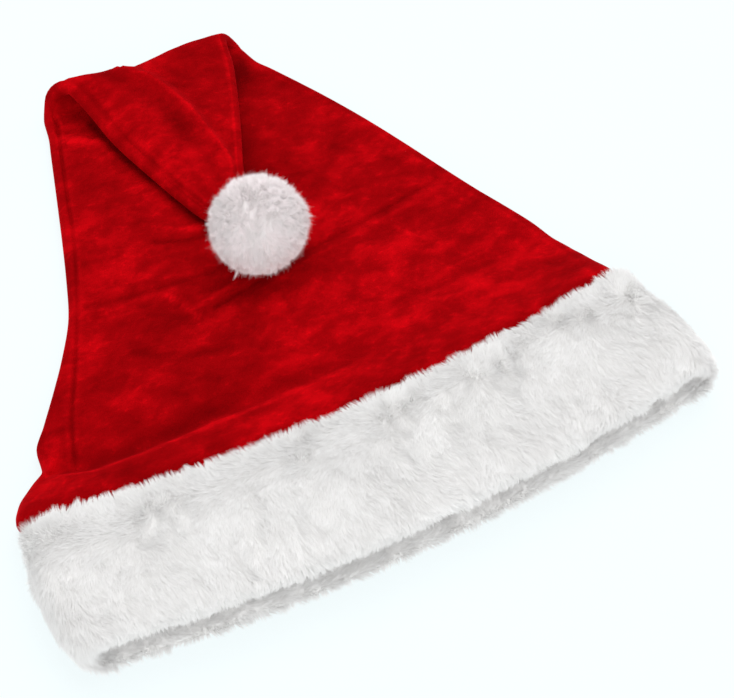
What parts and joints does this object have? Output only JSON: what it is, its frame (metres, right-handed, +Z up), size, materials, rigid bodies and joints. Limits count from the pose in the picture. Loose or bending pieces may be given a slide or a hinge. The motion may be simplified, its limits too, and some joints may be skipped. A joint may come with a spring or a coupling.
{
  "type": "santa hat",
  "caption": "Plush Santa hat lying flat: tapering velvet crown with its tip folded over onto the front, deep fur brim and a fur pompom.",
  "frame": {"origin": "centre of the hat's outline seen from above, on the surface it lies on", "axes": "+Z up off the surface, -Y the way the mouth faces, +Y towards the fold of the tip, +X along the brim to the right seen from the mouth"},
  "size_m": [0.324, 0.318, 0.0578],
  "materials": {
    "velvet": "crushed plush velvet, soft sheen",
    "fur": "long plush pile, matt",
    "pompom_fur": "fluffy pile, matt"
  },
  "bodies": {
    "root": {"crown": "velvet", "brim": "fur", "pompom": "pompom_fur"}
  },
  "joints": []
}
